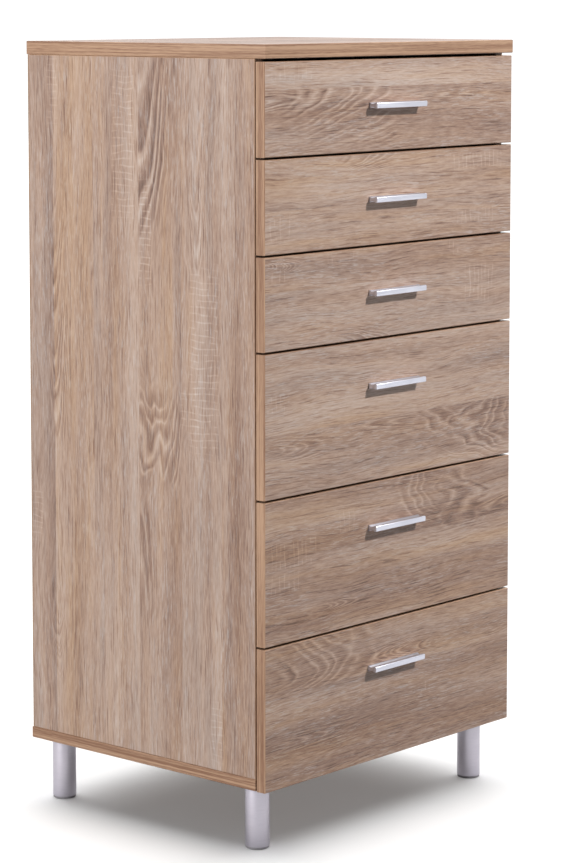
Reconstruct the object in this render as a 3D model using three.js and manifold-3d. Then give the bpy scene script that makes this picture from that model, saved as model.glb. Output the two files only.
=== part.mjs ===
// Tall chest of drawers: three shallow drawers over three deep ones, on four short round legs.
// Millimetres. X runs along the fronts, Y from the handles to the back panel, Z up from the floor.

import * as THREE from 'three';
import { mergeVertices } from 'three/addons/utils/BufferGeometryUtils.js';
import Module from 'manifold-3d';

const wasm = await Module();
wasm.setup();

// Overall sizes
const WIDTH = 544;
const BODY_DEPTH = 453; // face of the fronts to the rear edge of the top and bottom panels
const LEG_HEIGHT = 90;
const SHALLOW_FRONT = 127;
const DEEP_FRONT = 197;
const FRONT_HEIGHTS = [
  SHALLOW_FRONT, SHALLOW_FRONT, SHALLOW_FRONT, DEEP_FRONT, DEEP_FRONT, DEEP_FRONT,
]; // from the top drawer down

// Board thicknesses
const TOP_BOARD = 19;
const BOARD = 16; // sides, bottom, rail and drawer fronts
const BOX_BOARD = 12; // sides and backs of the drawer boxes
const THIN_BOARD = 3; // back panel and drawer bottoms
const EASED_EDGE = 0.8;
const THIN_EASED_EDGE = 0.3;

// Gaps and fits
const SEAM = 0.2; // between boards that butt together
const FRONT_GAP = 3; // between one front and the next
const TOP_GAP = 4; // above the top front
const FRONT_STANDOFF = 1.5; // between a closed front and the carcase
const TOP_OVERHANG = 1.5; // of the top panel past the fronts
const BACK_INSET = 2; // of the back panel from the outer faces of the sides
const BOX_SIDE_CLEARANCE = 2; // between a drawer box and a side panel
const BOX_FLOOR_CLEARANCE = 6; // between a drawer box and the board below it
const BOX_HEADROOM = 15; // from a drawer box up to the top edge of its front
const BOX_REAR_CLEARANCE = 33; // between a drawer box and the back panel

// Rail across the middle of the carcase
const RAIL_DEPTH = 60;
const RAIL_ABOVE_ROW = 3; // the rail lies under this drawer, counted from the top

// Drawer bottom in its grooves
const BOTTOM_LIFT = 8; // of the drawer bottom above the lower edge of the box
const BOTTOM_GROOVE_DEPTH = 5;
const BOTTOM_SLACK = 0.2;

// Runner strips and the grooves that ride on them
const RUNNER_HEIGHT = 17;
const RUNNER_CORNER = 3;
const RUNNER_ENGAGEMENT = 6; // how far a strip reaches into the groove
const RUNNER_PLAY = 0.4; // above and below a strip in its groove
const RUNNER_END_PLAY = 2; // between the front of a strip and the closed end of the groove
const RUNNER_REAR_SHORTFALL = 8; // of a strip behind the rear end of the drawer box
const GROOVE_FLOOR_PLAY = 0.5;
const GROOVE_STOP = 20; // closed length at the front end of the groove
const RUNNER_SCREW_DIAMETER = 4.2;
const RUNNER_SCREW_HEAD = 8;
const RUNNER_SCREW_POSITIONS = [0.08, 0.5, 0.92]; // shares of a strip's length

// Handles
const HANDLE_LENGTH = 110;
const HANDLE_DROP = 63.5; // centre line below the top edge of the front
const HANDLE_PROJECTION = 15;
const HANDLE_HALF_BASE = 4;
const HANDLE_HALF_WAIST = 1.9;
const HANDLE_HALF_LIP = 3.9;
const HANDLE_BASE_THICKNESS = 1.8;
const HANDLE_LIP_THICKNESS = 3.6;
const HANDLE_SCREW_PITCH = 96;
const HANDLE_SCREW_DEPTH = 9;
const HANDLE_THREAD_DIAMETER = 3.3;
const FRONT_SCREW_DIAMETER = 4.6;

// Legs
const LEG_DIAMETER = 34;
const LEG_FOOT_RADIUS = 1.4;
const LEG_SEGMENTS = 48;
const LEG_SIDE_INSET = 35; // leg centre from the outer face of the side panel
const LEG_FRONT_INSET = 28; // leg centre from the front edge of the bottom panel
const LEG_REAR_INSET = 30; // leg centre from the rear edge of the bottom panel
const STUD_DIAMETER = 8;
const STUD_LENGTH = 11;
const STUD_CLEARANCE = 0.3;
const STUD_HOLE_DEPTH = 12;

const HOLE_SEGMENTS = 20;

// Places that follow from the sizes
const OVERALL_DEPTH = HANDLE_PROJECTION + BODY_DEPTH;
const FRONT_FACE = HANDLE_PROJECTION - OVERALL_DEPTH / 2;
const REAR = OVERALL_DEPTH / 2;
const CARCASE_FRONT = FRONT_FACE + BOARD + FRONT_STANDOFF;
const SIDE_REAR = REAR - THIN_BOARD - SEAM;
const FLOOR_TOP = LEG_HEIGHT + BOARD;
const STACK_HEIGHT = FRONT_HEIGHTS.reduce((sum, height) => sum + height + FRONT_GAP, -FRONT_GAP);
const TOP_UNDERSIDE = LEG_HEIGHT + STACK_HEIGHT + TOP_GAP;
const INNER_WIDTH = WIDTH - 2 * BOARD;
const BOX_WIDTH = INNER_WIDTH - 2 * BOX_SIDE_CLEARANCE;
const BOX_FRONT = BOARD + SEAM; // behind the face of the drawer front
const BOX_REAR = SIDE_REAR - BOX_REAR_CLEARANCE - FRONT_FACE;
const BOX_LIFT = BOARD + BOX_FLOOR_CLEARANCE; // lower edge of the box above that of the front
const GROOVE_DEPTH = RUNNER_ENGAGEMENT + GROOVE_FLOOR_PLAY;
const RUNNER_THICKNESS = BOX_SIDE_CLEARANCE + RUNNER_ENGAGEMENT - SEAM;
const RUNNER_FRONT = FRONT_FACE + BOX_FRONT + GROOVE_STOP + RUNNER_END_PLAY;
const RUNNER_LENGTH = FRONT_FACE + BOX_REAR - RUNNER_REAR_SHORTFALL - RUNNER_FRONT;

const boxHeight = (frontHeight) => frontHeight - BOX_LIFT - BOX_HEADROOM;
const frontBottoms = FRONT_HEIGHTS.map((height, row) => {
  const above = FRONT_HEIGHTS.slice(0, row).reduce((sum, h) => sum + h + FRONT_GAP, 0);
  return LEG_HEIGHT + STACK_HEIGHT - above - height;
});

// Finishes
const finish = (color, roughness, metalness = 0) =>
  () => new THREE.MeshStandardMaterial({ color, roughness, metalness });
const oakSide = finish(0xb59d8d, 0.55);
const oakFront = finish(0xa2877a, 0.55);
const oakTop = finish(0xb89b87, 0.5);
const whiteBoard = finish(0xe4e1db, 0.5);
const hardboard = finish(0x9a7a58, 0.7);
const whiteHardboard = finish(0xd9d5cd, 0.6);
const plastic = finish(0xc9c9c6, 0.5);
const silver = finish(0xc4c2c9, 0.35, 0.8);
const aluminium = finish(0xc9cbd3, 0.3, 0.9);

// A board centred on the origin, with the edges of its two large faces eased.
function board(sizeX, sizeY, sizeZ, ease = EASED_EDGE) {
  const size = [sizeX, sizeY, sizeZ];
  const thin = size.indexOf(Math.min(...size));
  const along = (thin + 1) % 3;
  const across = (thin + 2) % 3;
  const halfLength = size[along] / 2 - ease;
  const halfWidth = size[across] / 2 - ease;
  const outline = new THREE.Shape([
    new THREE.Vector2(-halfLength, -halfWidth),
    new THREE.Vector2(halfLength, -halfWidth),
    new THREE.Vector2(halfLength, halfWidth),
    new THREE.Vector2(-halfLength, halfWidth),
  ]);
  const geometry = new THREE.ExtrudeGeometry(outline, {
    depth: size[thin] - 2 * ease,
    bevelThickness: ease,
    bevelSize: ease,
    bevelSegments: 1,
  });
  geometry.translate(0, 0, ease - size[thin] / 2);
  const axes = [0, 1, 2].map((axis) => new THREE.Vector3().setComponent(axis, 1));
  return geometry.applyMatrix4(
    new THREE.Matrix4().makeBasis(axes[along], axes[across], axes[thin]),
  );
}

function toSolid(geometry) {
  const bare = geometry.clone();
  bare.deleteAttribute('normal');
  bare.deleteAttribute('uv');
  const welded = mergeVertices(bare, 1e-4);
  return new wasm.Manifold(new wasm.Mesh({
    numProp: 3,
    vertProperties: Float32Array.from(welded.attributes.position.array),
    triVerts: Uint32Array.from(welded.index.array),
  }));
}

function toGeometry(solid) {
  const mesh = solid.getMesh();
  const geometry = new THREE.BufferGeometry();
  geometry.setAttribute('position', new THREE.BufferAttribute(mesh.vertProperties, 3));
  geometry.setIndex(new THREE.BufferAttribute(mesh.triVerts, 1));
  const faceted = geometry.toNonIndexed();
  faceted.computeVertexNormals();
  return faceted;
}

function cut(geometry, cutters) {
  const solid = cutters.reduce((rest, cutter) => rest.subtract(toSolid(cutter)), toSolid(geometry));
  return toGeometry(solid);
}

// A box given by its lowest and highest corner, to cut with.
function block(low, high) {
  const size = high.map((value, axis) => value - low[axis]);
  const centre = high.map((value, axis) => (value + low[axis]) / 2);
  return new THREE.BoxGeometry(...size).translate(...centre);
}

// A round bar along Y, to cut with.
function barAlongY(diameter, length, x, y, z) {
  const bar = new THREE.CylinderGeometry(diameter / 2, diameter / 2, length, HOLE_SEGMENTS);
  return bar.translate(x, y, z);
}

function piece(parent, name, geometry, material, [x, y, z]) {
  const mesh = new THREE.Mesh(geometry, material());
  mesh.name = name;
  mesh.position.set(x, y, z);
  parent.add(mesh);
}

const SIDES = [['left', -1], ['right', 1]];

// Carcase: top, bottom, two sides, back panel and the rail across the middle.
function addCarcase(chest) {
  const carcase = new THREE.Group();
  carcase.name = 'carcase';
  chest.add(carcase);

  const topFront = FRONT_FACE - TOP_OVERHANG;
  piece(carcase, 'top_panel', board(WIDTH, REAR - topFront, TOP_BOARD), oakTop,
    [0, (topFront + REAR) / 2, TOP_UNDERSIDE + TOP_BOARD / 2]);

  const bottomDepth = REAR - CARCASE_FRONT;
  const bottomMiddle = (CARCASE_FRONT + REAR) / 2;
  const studHole = STUD_DIAMETER + 2 * STUD_CLEARANCE;
  const studHoles = legPlaces().map(({ x, y }) => {
    const hole = new THREE.CylinderGeometry(
      studHole / 2, studHole / 2, 2 * STUD_HOLE_DEPTH, HOLE_SEGMENTS);
    return hole.rotateX(Math.PI / 2).translate(x, y - bottomMiddle, -BOARD / 2);
  });
  piece(carcase, 'bottom_panel', cut(board(WIDTH, bottomDepth, BOARD), studHoles), oakSide,
    [0, bottomMiddle, LEG_HEIGHT + BOARD / 2]);

  const sideHeight = TOP_UNDERSIDE - FLOOR_TOP - 2 * SEAM;
  const sideMiddle = (FLOOR_TOP + TOP_UNDERSIDE) / 2;
  for (const [side, sign] of SIDES) {
    piece(carcase, `${side}_side_panel`, board(BOARD, SIDE_REAR - CARCASE_FRONT, sideHeight),
      oakSide, [sign * (WIDTH - BOARD) / 2, (CARCASE_FRONT + SIDE_REAR) / 2, sideMiddle]);
  }

  piece(carcase, 'back_panel',
    board(WIDTH - 2 * BACK_INSET, THIN_BOARD, sideHeight, THIN_EASED_EDGE), hardboard,
    [0, REAR - THIN_BOARD / 2, sideMiddle]);

  piece(carcase, 'middle_rail', board(INNER_WIDTH - 2 * SEAM, RAIL_DEPTH, BOARD), oakSide,
    [0, CARCASE_FRONT + RAIL_DEPTH / 2, frontBottoms[RAIL_ABOVE_ROW - 1] + BOARD / 2]);
}

// Legs: a turned bar with a rounded foot, and a stud that screws up into the bottom panel.
function legPlaces() {
  const frontY = CARCASE_FRONT + LEG_FRONT_INSET;
  const rearY = REAR - LEG_REAR_INSET;
  return SIDES.flatMap(([side, sign]) => {
    const x = sign * (WIDTH / 2 - LEG_SIDE_INSET);
    return [{ name: `front_${side}_leg`, x, y: frontY }, { name: `rear_${side}_leg`, x, y: rearY }];
  });
}

function legGeometry() {
  const outer = LEG_DIAMETER / 2;
  const top = LEG_HEIGHT - SEAM;
  const stud = STUD_DIAMETER / 2;
  const ease = EASED_EDGE;
  const foot = LEG_FOOT_RADIUS;
  const rounding = [0.25, 0.5, 0.75, 1].map((share) => {
    const angle = share * Math.PI / 2;
    return [outer - foot + foot * Math.sin(angle), foot - foot * Math.cos(angle)];
  });
  const profile = [
    [0, 0], [outer - foot, 0], ...rounding,
    [outer, top - ease], [outer - ease, top], [stud, top],
    [stud, top + STUD_LENGTH - ease], [stud - ease, top + STUD_LENGTH], [0, top + STUD_LENGTH],
  ].map(([radius, height]) => new THREE.Vector2(radius, height));
  return new THREE.LatheGeometry(profile, LEG_SEGMENTS).rotateX(Math.PI / 2);
}

function addLegs(chest) {
  const legs = new THREE.Group();
  legs.name = 'legs';
  chest.add(legs);
  for (const { name, x, y } of legPlaces()) piece(legs, name, legGeometry(), silver, [x, y, 0]);
}

// Runner strips: screwed to the side panels, one in the groove of each drawer side.
function runnerGeometry(sign) {
  const strip = new THREE.Shape();
  const r = RUNNER_CORNER;
  const h = RUNNER_HEIGHT / 2;
  strip.moveTo(r, -h).lineTo(RUNNER_LENGTH - r, -h);
  strip.quadraticCurveTo(RUNNER_LENGTH, -h, RUNNER_LENGTH, r - h).lineTo(RUNNER_LENGTH, h - r);
  strip.quadraticCurveTo(RUNNER_LENGTH, h, RUNNER_LENGTH - r, h).lineTo(r, h);
  strip.quadraticCurveTo(0, h, 0, h - r).lineTo(0, r - h).quadraticCurveTo(0, -h, r, -h);
  const body = new THREE.ExtrudeGeometry(strip, {
    depth: RUNNER_THICKNESS, bevelEnabled: false, curveSegments: 4,
  });
  const headDepth = (RUNNER_SCREW_HEAD - RUNNER_SCREW_DIAMETER) / 2;
  const shank = RUNNER_SCREW_DIAMETER / 2;
  const holes = RUNNER_SCREW_POSITIONS.flatMap((share) => {
    const through = new THREE.CylinderGeometry(shank, shank, 3 * RUNNER_THICKNESS, HOLE_SEGMENTS);
    const countersink = new THREE.CylinderGeometry(
      RUNNER_SCREW_HEAD / 2 + headDepth, shank, 2 * headDepth, HOLE_SEGMENTS);
    return [through, countersink.translate(0, RUNNER_THICKNESS, 0)].map(
      (tool) => tool.rotateX(Math.PI / 2).translate(share * RUNNER_LENGTH, 0, 0));
  });
  // The strip is drawn lying on its fixing face, then turned so that this face meets the panel.
  const along = new THREE.Vector3(0, 1, 0);
  const inward = new THREE.Vector3(-sign, 0, 0);
  const up = new THREE.Vector3().crossVectors(inward, along);
  return cut(body, holes).applyMatrix4(new THREE.Matrix4().makeBasis(along, up, inward));
}

function addRunners(chest) {
  const runners = new THREE.Group();
  runners.name = 'runners';
  chest.add(runners);
  FRONT_HEIGHTS.forEach((height, row) => {
    const z = frontBottoms[row] + BOX_LIFT + boxHeight(height) / 2;
    for (const [side, sign] of SIDES) {
      piece(runners, `runner_${row + 1}_${side}`, runnerGeometry(sign), plastic,
        [sign * (INNER_WIDTH / 2 - SEAM), RUNNER_FRONT, z]);
    }
  });
}

// Handles: an extruded bar with a flat base, a waist to hook fingers behind, and a rounded lip.
function handleGeometry() {
  const base = HANDLE_BASE_THICKNESS;
  const lip = HANDLE_PROJECTION - HANDLE_LIP_THICKNESS;
  const waist = (base + lip) / 2;
  const halfProfile = new THREE.Path();
  halfProfile.moveTo(SEAM, HANDLE_HALF_BASE).lineTo(base, HANDLE_HALF_BASE);
  halfProfile.quadraticCurveTo(base + 1, HANDLE_HALF_WAIST, waist, HANDLE_HALF_WAIST);
  halfProfile.quadraticCurveTo(lip - 0.6, HANDLE_HALF_WAIST, lip, HANDLE_HALF_LIP - 0.5);
  halfProfile.quadraticCurveTo(lip + 0.3, HANDLE_HALF_LIP, lip + 1, HANDLE_HALF_LIP);
  halfProfile.lineTo(HANDLE_PROJECTION - 1.6, HANDLE_HALF_LIP);
  halfProfile.quadraticCurveTo(
    HANDLE_PROJECTION, HANDLE_HALF_LIP, HANDLE_PROJECTION, HANDLE_HALF_LIP - 2);
  const upper = halfProfile.getPoints(5);
  const lower = upper.map((point) => new THREE.Vector2(point.x, -point.y)).reverse();
  const bar = new THREE.ExtrudeGeometry(new THREE.Shape([...upper, ...lower]), {
    depth: HANDLE_LENGTH, bevelEnabled: false,
  });
  bar.translate(0, 0, -HANDLE_LENGTH / 2);
  const outward = new THREE.Vector3(0, -1, 0);
  const up = new THREE.Vector3(0, 0, 1);
  const along = new THREE.Vector3().crossVectors(outward, up);
  bar.applyMatrix4(new THREE.Matrix4().makeBasis(outward, up, along));
  const threads = [-1, 1].map((end) =>
    barAlongY(HANDLE_THREAD_DIAMETER, 2 * HANDLE_SCREW_DEPTH, end * HANDLE_SCREW_PITCH / 2, 0, 0));
  return cut(bar, threads);
}

// One drawer, drawn with its group's origin on the lower edge of the front's outer face.
function addDrawer(chest, row) {
  const height = FRONT_HEIGHTS[row];
  const name = `drawer_${row + 1}`;
  const drawer = new THREE.Group();
  drawer.name = name;
  drawer.position.set(0, FRONT_FACE, frontBottoms[row]);
  chest.add(drawer);

  const sideHeight = boxHeight(height);
  const sideLength = BOX_REAR - BOX_FRONT;
  const sideX = (BOX_WIDTH - BOX_BOARD) / 2;
  const clearWidth = BOX_WIDTH - 2 * BOX_BOARD;
  const handleZ = height - HANDLE_DROP;
  const bottomGrooveLow = BOX_LIFT + BOTTOM_LIFT - BOTTOM_SLACK;
  const bottomGrooveHigh = BOX_LIFT + BOTTOM_LIFT + THIN_BOARD + BOTTOM_SLACK;
  const bottomWidth = clearWidth + 2 * (BOTTOM_GROOVE_DEPTH - BOTTOM_SLACK);

  const frontMiddle = [0, BOARD / 2, height / 2];
  const frontCuts = [-1, 1].map((end) =>
    barAlongY(FRONT_SCREW_DIAMETER, 2 * BOARD, end * HANDLE_SCREW_PITCH / 2, 0, handleZ - height / 2));
  frontCuts.push(block(
    [-bottomWidth / 2 - BOTTOM_SLACK, BOARD / 2 - BOTTOM_GROOVE_DEPTH, bottomGrooveLow - height / 2],
    [bottomWidth / 2 + BOTTOM_SLACK, BOARD, bottomGrooveHigh - height / 2]));
  piece(drawer, `${name}_front`, cut(board(WIDTH, BOARD, height), frontCuts), oakFront, frontMiddle);

  for (const [side, sign] of SIDES) {
    const plain = board(BOX_BOARD, sideLength, sideHeight, THIN_EASED_EDGE);
    const outerFace = sign * BOX_BOARD / 2;
    const grooveX = [outerFace - sign * GROOVE_DEPTH, outerFace + sign * BOX_BOARD]
      .sort((a, b) => a - b);
    const runnerGroove = block(
      [grooveX[0], GROOVE_STOP - sideLength / 2, -RUNNER_HEIGHT / 2 - RUNNER_PLAY],
      [grooveX[1], sideLength, RUNNER_HEIGHT / 2 + RUNNER_PLAY]);
    const bottomX = [-outerFace + sign * BOTTOM_GROOVE_DEPTH, -outerFace - sign * BOX_BOARD]
      .sort((a, b) => a - b);
    const boxMiddle = BOX_LIFT + sideHeight / 2;
    const bottomGroove = block(
      [bottomX[0], -sideLength, bottomGrooveLow - boxMiddle],
      [bottomX[1], sideLength, bottomGrooveHigh - boxMiddle]);
    piece(drawer, `${name}_${side}_side`, cut(plain, [runnerGroove, bottomGroove]), whiteBoard,
      [sign * sideX, BOX_FRONT + sideLength / 2, boxMiddle]);
  }

  const backBottom = bottomGrooveHigh;
  const backTop = BOX_LIFT + sideHeight;
  piece(drawer, `${name}_back`,
    board(clearWidth - 2 * SEAM, BOX_BOARD, backTop - backBottom, THIN_EASED_EDGE), whiteBoard,
    [0, BOX_REAR - BOX_BOARD / 2, (backBottom + backTop) / 2]);

  const bottomFront = BOARD - BOTTOM_GROOVE_DEPTH + BOTTOM_SLACK;
  piece(drawer, `${name}_bottom`,
    board(bottomWidth, BOX_REAR - bottomFront, THIN_BOARD, THIN_EASED_EDGE), whiteHardboard,
    [0, (bottomFront + BOX_REAR) / 2, BOX_LIFT + BOTTOM_LIFT + THIN_BOARD / 2]);

  piece(drawer, `${name}_handle`, handleGeometry(), aluminium, [0, 0, handleZ]);
}

const chest = new THREE.Group();
chest.name = 'chest_of_drawers';
addCarcase(chest);
addLegs(chest);
addRunners(chest);
FRONT_HEIGHTS.forEach((height, row) => addDrawer(chest, row));

export default chest;
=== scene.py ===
# %% [markdown]
# # A tall chest of drawers in oak-look board
#
# The chest is a carcase of printed board on four short silver legs, with three shallow drawers above
# three deep ones. Its solids come from the packed model, and this lesson gives them their looks: the
# printed oak, the edge bands, the metal, the small fittings, and a plain studio to see it all in.
#
# First the model is loaded as a fixed frame. Its box is kept, and the floor is laid at its lowest
# point.

# %% Load the frame
import math

import bmesh
import bpy
from mathutils import Matrix, Vector


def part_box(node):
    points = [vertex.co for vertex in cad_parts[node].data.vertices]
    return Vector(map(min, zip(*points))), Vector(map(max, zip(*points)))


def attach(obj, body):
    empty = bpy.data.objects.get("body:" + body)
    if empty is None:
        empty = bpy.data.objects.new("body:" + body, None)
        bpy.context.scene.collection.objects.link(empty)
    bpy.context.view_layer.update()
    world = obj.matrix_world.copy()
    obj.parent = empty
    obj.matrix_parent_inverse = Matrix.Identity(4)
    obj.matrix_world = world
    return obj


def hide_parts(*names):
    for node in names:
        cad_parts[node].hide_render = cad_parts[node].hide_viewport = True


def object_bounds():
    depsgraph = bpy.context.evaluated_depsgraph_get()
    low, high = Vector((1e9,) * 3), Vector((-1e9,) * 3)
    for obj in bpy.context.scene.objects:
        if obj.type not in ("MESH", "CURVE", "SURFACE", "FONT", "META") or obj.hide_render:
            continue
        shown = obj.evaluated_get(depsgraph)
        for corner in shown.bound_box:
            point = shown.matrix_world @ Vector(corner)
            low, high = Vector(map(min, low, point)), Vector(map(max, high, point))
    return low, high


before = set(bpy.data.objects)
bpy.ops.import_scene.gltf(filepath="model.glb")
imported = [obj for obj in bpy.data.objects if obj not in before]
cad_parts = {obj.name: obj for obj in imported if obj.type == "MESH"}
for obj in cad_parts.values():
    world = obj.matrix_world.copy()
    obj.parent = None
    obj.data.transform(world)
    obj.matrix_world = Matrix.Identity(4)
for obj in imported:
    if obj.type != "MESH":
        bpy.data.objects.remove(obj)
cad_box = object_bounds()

MM = 0.001
DRAWERS = [f"drawer_{row}" for row in range(1, 7)]

# %% [markdown]
# ## The camera
#
# A tall object looks right when its upright edges stay nearly parallel. A long lens from some way off
# does most of that. The lens is also shifted down a little, as on a view camera, so that the camera
# tilts less.

# %% Add the camera
CAMERA_PLACE = (-3.0757, -2.7153, 1.1632)
CAMERA_HEADING = math.radians(48.894)
CAMERA_TILT = math.radians(5.456)
CAMERA_LENS, SENSOR_WIDTH = 118.51, 36
CAMERA_SHIFT = -0.19


def add_camera():
    data = bpy.data.cameras.new("camera")
    data.sensor_width = SENSOR_WIDTH
    data.lens = CAMERA_LENS
    data.shift_y = CAMERA_SHIFT
    camera = bpy.data.objects.new("camera", data)
    camera.location = CAMERA_PLACE
    camera.rotation_euler = (math.pi / 2 - CAMERA_TILT, 0, -CAMERA_HEADING)
    bpy.context.scene.collection.objects.link(camera)
    bpy.context.scene.camera = camera
    return camera


camera = add_camera()
print("camera at", tuple(camera.location))

# %% [markdown]
# ## Wiring materials
#
# Every finish here is made of nodes. A small helper keeps the wiring readable: each of its calls adds
# one node and returns the socket that the next call takes.

# %% A helper that wires nodes
class Wiring:
    """The nodes of one material, added in the order in which they are wired."""

    def __init__(self, name):
        self.material = bpy.data.materials.new(name)
        self.material.use_nodes = True
        self.tree = self.material.node_tree
        self.tree.nodes.clear()

    def node(self, kind, inputs=(), **settings):
        made = self.tree.nodes.new(kind)
        made.location = (220 * (len(self.tree.nodes) % 12), -260 * (len(self.tree.nodes) // 12))
        for key, value in settings.items():
            setattr(made, key, value)
        for key, value in dict(inputs).items():
            if isinstance(value, bpy.types.NodeSocket):
                self.tree.links.new(value, made.inputs[key])
            else:
                made.inputs[key].default_value = value
        return made

    def maths(self, operation, a, b=0.0, c=0.0):
        return self.node("ShaderNodeMath", {0: a, 1: b, 2: c}, operation=operation).outputs[0]

    def times(self, first, *others):
        for other in others:
            first = self.maths("MULTIPLY", first, other)
        return first

    def less(self, a, b):
        return self.maths("SUBTRACT", a, b)

    def vector(self, x, y, z):
        return self.node("ShaderNodeCombineXYZ", {0: x, 1: y, 2: z}).outputs[0]

    def stretch(self, vector, by):
        return self.node("ShaderNodeVectorMath", {0: vector, 1: by}, operation="MULTIPLY").outputs[0]

    def noise(self, vector, scale=1.0, detail=2.0, roughness=0.5):
        inputs = {"Vector": vector, "Scale": scale, "Detail": detail, "Roughness": roughness}
        return self.node("ShaderNodeTexNoise", inputs).outputs["Fac"]

    def sway(self, value, noise, strength):
        """The value, swayed to either side by noise that is about 0.5 on average."""
        return self.maths("MULTIPLY_ADD", self.less(noise, 0.5), strength, value)

    def step(self, value, low, high, bottom=0.0, top=1.0):
        inputs = {"Value": value, "From Min": low, "From Max": high, "To Min": bottom, "To Max": top}
        return self.node("ShaderNodeMapRange", inputs, interpolation_type="SMOOTHSTEP").outputs[0]

    def ramp(self, value, stops, interpolation="LINEAR"):
        made = self.node("ShaderNodeValToRGB", {0: value})
        made.color_ramp.interpolation = interpolation
        elements = made.color_ramp.elements
        while len(elements) < len(stops):
            elements.new(1.0)
        for element, (place, colour) in zip(elements, stops):
            element.position = place
            element.color = (*colour, 1.0)
        return made.outputs["Color"]

    def mix(self, factor, a, b, mode="MIX"):
        inputs = {0: factor, 6: a, 7: b}
        made = self.node("ShaderNodeMix", inputs, data_type="RGBA", blend_type=mode)
        return made.outputs[2]

    def object_place(self):
        place = self.node("ShaderNodeTexCoord")
        return place.outputs["Object"], place.outputs["Normal"]

    def split(self, vector):
        return self.node("ShaderNodeSeparateXYZ", {0: vector}).outputs

    def finish(self, colour, roughness, metallic=0.0, height=None, depth=0.1 * MM, strength=0.5, **more):
        """Wires the surface shader. height, if given, bumps the surface by up to depth."""
        inputs = {"Base Color": colour, "Roughness": roughness, "Metallic": metallic, **more}
        if height is not None:
            bump = {"Height": height, "Distance": depth, "Strength": strength}
            inputs["Normal"] = self.node("ShaderNodeBump", bump).outputs[0]
        shader = self.node("ShaderNodeBsdfPrincipled", inputs)
        self.node("ShaderNodeOutputMaterial", {"Surface": shader.outputs[0]})
        return self.material


print("one call each:", [call for call in vars(Wiring) if not call.startswith("_")])

# %% [markdown]
# Colours are easiest to judge as screen colours, but shaders add up light. One function turns the first
# into the second, so that every finish below can be written in the numbers that a colour picker shows.

# %% Colours
def paint(red, green, blue):
    """A screen colour of 0 to 255 as the light values that shaders work in."""
    shares = [value / 255 for value in (red, green, blue)]
    return tuple(s / 12.92 if s <= 0.04045 else ((s + 0.055) / 1.055) ** 2.4 for s in shares)


def solid_paint(red, green, blue):
    return (*paint(red, green, blue), 1.0)


print("screen grey 128 is light", round(paint(128, 128, 128)[0], 3))

# %% [markdown]
# ## Printed oak
#
# The boards are chipboard under a printed, lightly embossed film that shows limed, rough-sawn oak. The
# print is made of lamellas, strips of different planks laid side by side. Each has its own tone and its
# own run of grain, so the grain breaks off sharply where two meet.
#
# An image would tie the grain to one picture. Noise that is stretched along the grain gives the same
# look at every scale: broad bands, streaks, fibres and short pores, one inside the other. The figure
# where a plank was cut through its rings is a set of nested arches, which is a parabola repeated at
# even steps and then made wavy by more noise. Saw marks are short pale lines across the grain.

# %% Lamellas and grain
ALONG, ACROSS, THROUGH = 0, 1, 2


def lamellas(w, across, low, high, strips):
    """Tone, warmth and a seed for the strip at each place. strips holds (start, tone, warmth)."""
    place = w.node("ShaderNodeMapRange", {"Value": across, "From Min": low, "From Max": high}).outputs[0]
    stops = [(start, (tone, warmth, (index * 0.37 + 0.11) % 1.0))
             for index, (start, tone, warmth) in enumerate(strips)]
    chosen = w.ramp(place, stops, "CONSTANT")
    parts = w.node("ShaderNodeSeparateColor", {0: chosen}).outputs
    return parts[0], parts[1], parts[2]


# How often in a metre, along and across the grain, the lines of it swing aside, and how far they do.
DRIFT_OFTEN, DRIFT_SWING = (3.4, 8.0), 26 * MM
SHIVER_OFTEN, SHIVER_SWING = (21.0, 45.0), 2 * MM


def grain(w, along, across, seed):
    """The layers of straight grain, from broad to fine, and the drifting place across the grain."""
    slice_ = w.times(seed, 41.0)
    moved = across
    for (often_along, often_across), swing in ((DRIFT_OFTEN, DRIFT_SWING), (SHIVER_OFTEN, SHIVER_SWING)):
        aside = w.noise(w.stretch(w.vector(along, across, slice_), (often_along, often_across, 1.0)))
        moved = w.sway(moved, aside, swing)
    place = w.vector(along, moved, slice_)
    bands = w.noise(w.stretch(place, (1.3, 24.0, 1.0)), detail=1.0)
    streaks = w.noise(w.stretch(place, (2.4, 80.0, 1.0)), detail=2.0, roughness=0.5)
    fibres = w.noise(w.stretch(place, (40.0, 460.0, 1.0)), detail=2.5, roughness=0.75)
    pores = w.noise(w.stretch(place, (17.0, 540.0, 1.0)), detail=2.0)
    return bands, streaks, fibres, pores, moved


print("a board's own axes:", dict(along=ALONG, across=ACROSS, through=THROUGH))

# %% [markdown]
# Where a plank was cut nearly level with its rings, they show as arches inside each other. Each ring is
# dark where its late wood begins, fades, and ends in a pale outline. A saw-tooth of the distance to the
# tip gives that order, and two noises bend the rings, so that no two run quite side by side. The
# pattern is multiplied by a soft patch, so that it fades into plain grain.

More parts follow.
